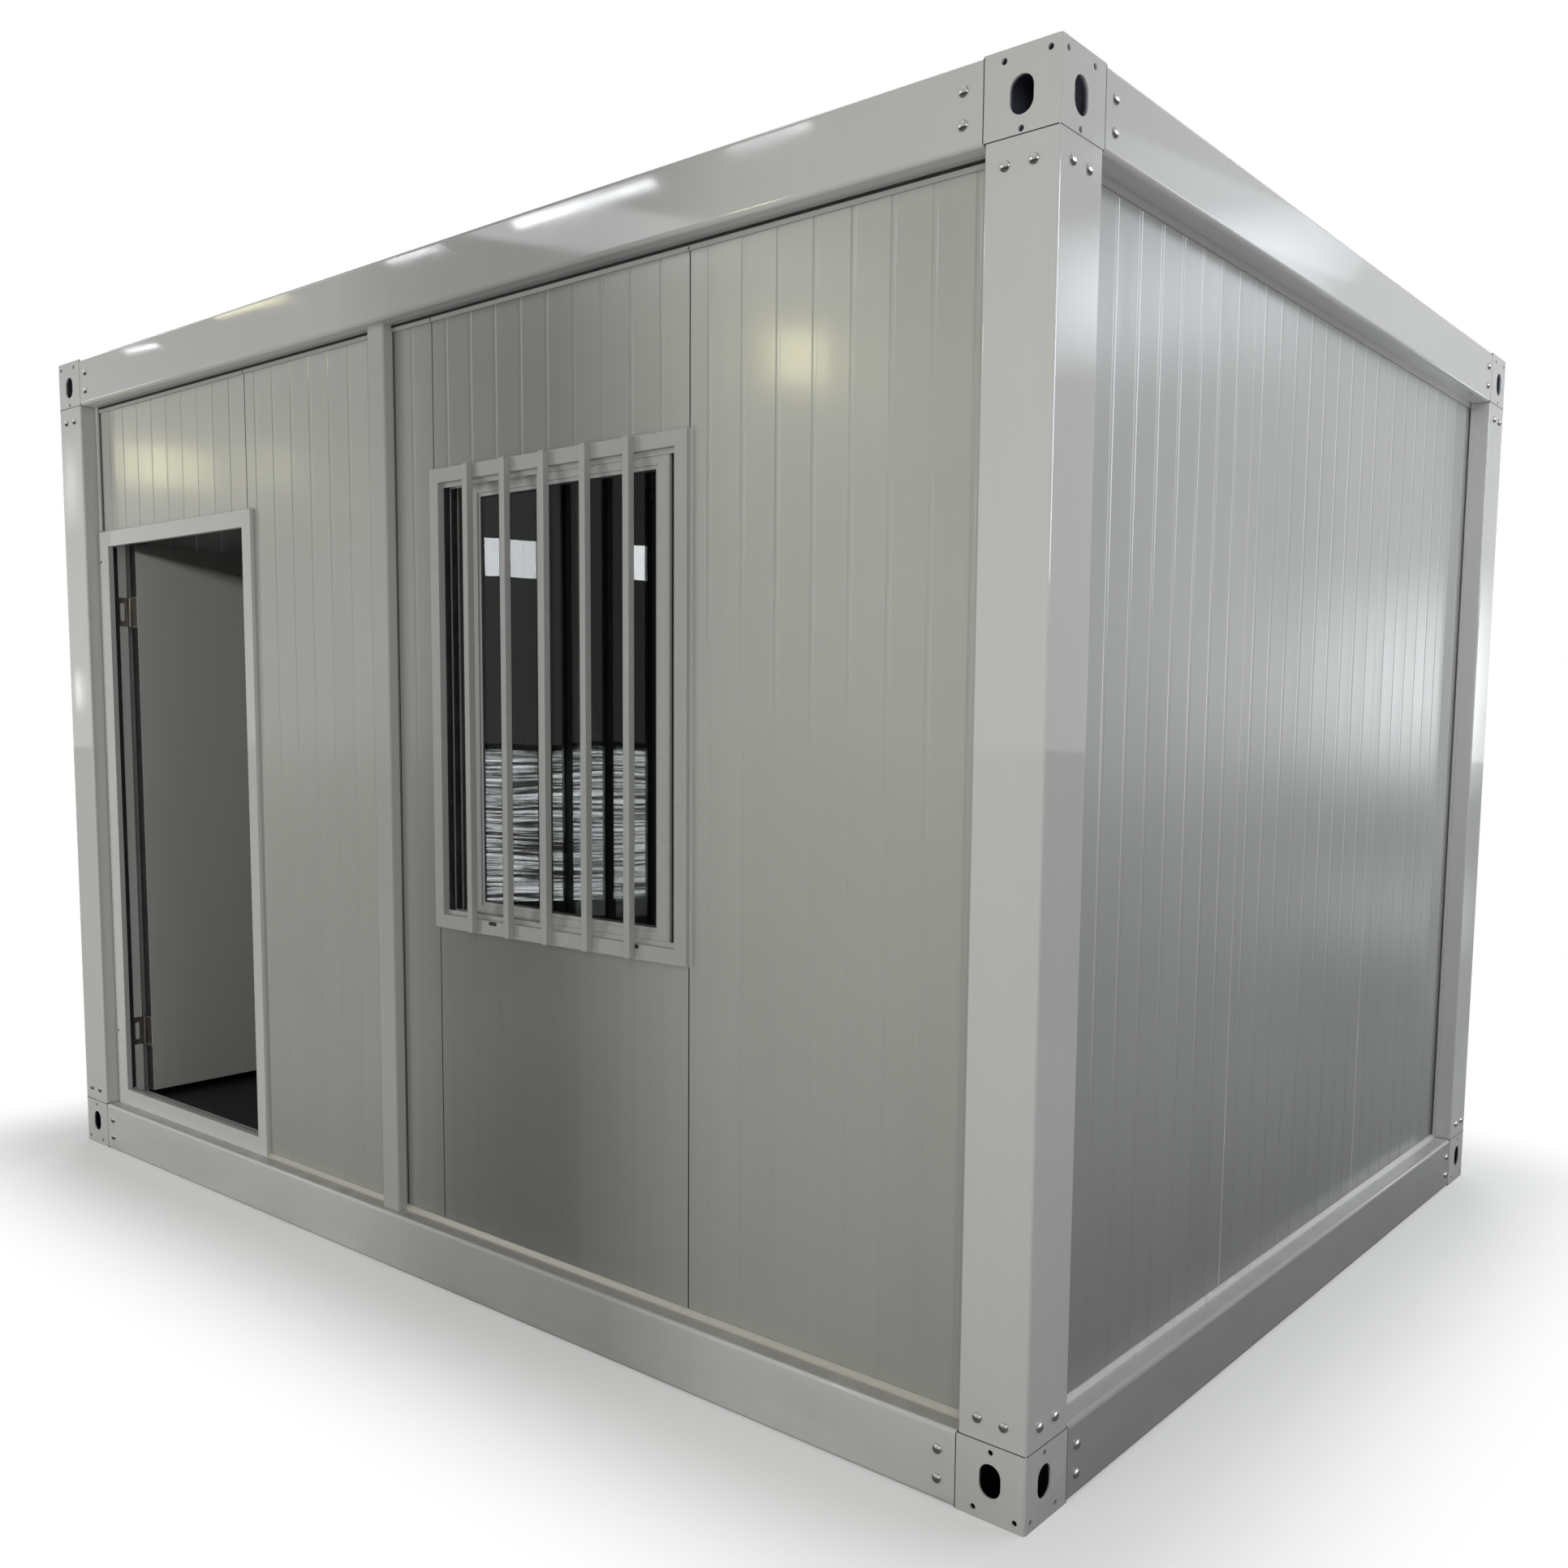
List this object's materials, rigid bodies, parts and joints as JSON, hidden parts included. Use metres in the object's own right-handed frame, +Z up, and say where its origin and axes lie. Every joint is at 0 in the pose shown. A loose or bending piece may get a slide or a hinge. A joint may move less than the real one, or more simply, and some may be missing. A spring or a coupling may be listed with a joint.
{
  "type": "modular container house",
  "caption": "Flat-pack container cabin with a bolted steel frame, ribbed sandwich wall panels, an inward opening door, a barred sliding window and a flat ribbed roof.",
  "frame": {"origin": "on the ground under the middle of the house", "axes": "+X along the front from the door's end to the other end, -Y towards the front with door and window, +Z up"},
  "size_m": [4, 2.95, 2.78],
  "materials": {
    "frame_paint": "glossy pale grey paint on folded steel",
    "panel_skin": "satin coated steel skin with pressed grooves",
    "trim_white": "white coated sheet",
    "floor_black": "dark smooth floor covering",
    "zinc": "zinc plated steel",
    "roof_sheet": "coated ribbed steel sheet",
    "leaf_grey": "satin coated steel sheet",
    "sash_white": "white coated aluminium profile",
    "window_glass": "clear float glass"
  },
  "bodies": {
    "house": {"base_rail_front": "frame_paint", "base_rail_back": "frame_paint", "base_rail_left": "frame_paint", "base_rail_right": "frame_paint", "base_corner_front_left": "frame_paint", "base_corner_front_right": "frame_paint", "base_corner_back_left": "frame_paint", "base_corner_back_right": "frame_paint", "corner_post_front_left": "frame_paint", "corner_post_front_right": "frame_paint", "corner_post_back_left": "frame_paint", "corner_post_back_right": "frame_paint", "roof_rail_front": "frame_paint", "roof_rail_back": "frame_paint", "roof_rail_left": "frame_paint", "roof_rail_right": "frame_paint", "roof_corner_front_left": "frame_paint", "roof_corner_front_right": "frame_paint", "roof_corner_back_left": "frame_paint", "roof_corner_back_right": "frame_paint", "floor_joists": "zinc", "floor_board": "floor_black", "ceiling_panel": "panel_skin", "roof_sheet": "roof_sheet", "front_panel_over_door": "panel_skin", "front_panel_beside_door": "panel_skin", "front_panel_over_window": "panel_skin", "front_panel_under_window": "panel_skin", "front_panel_right": "panel_skin", "back_wall_panels": "panel_skin", "left_wall_panels": "panel_skin", "right_wall_panels": "panel_skin", "middle_post": "frame_paint", "foot_flashing": "trim_white", "head_trim": "frame_paint", "door_jamb_hinge": "frame_paint", "door_jamb_lock": "frame_paint", "door_head": "frame_paint", "door_sill": "frame_paint", "window_frame": "sash_white", "window_sash_left": "sash_white", "window_sash_right": "sash_white", "window_glass": "window_glass", "window_bars": "sash_white", "hinge_frame_plates": "zinc"},
    "door": {"door_leaf": "leaf_grey", "hinge_leaf_plates": "zinc", "door_handle": "zinc"}
  },
  "joints": [
    {"name": "door_hinge", "type": "hinge", "parent": "house", "child": "door", "pos_m": [-1.7825, -1.355, 1.174], "axis": [0, 0, 1], "range_deg": [-90, 0]}
  ]
}
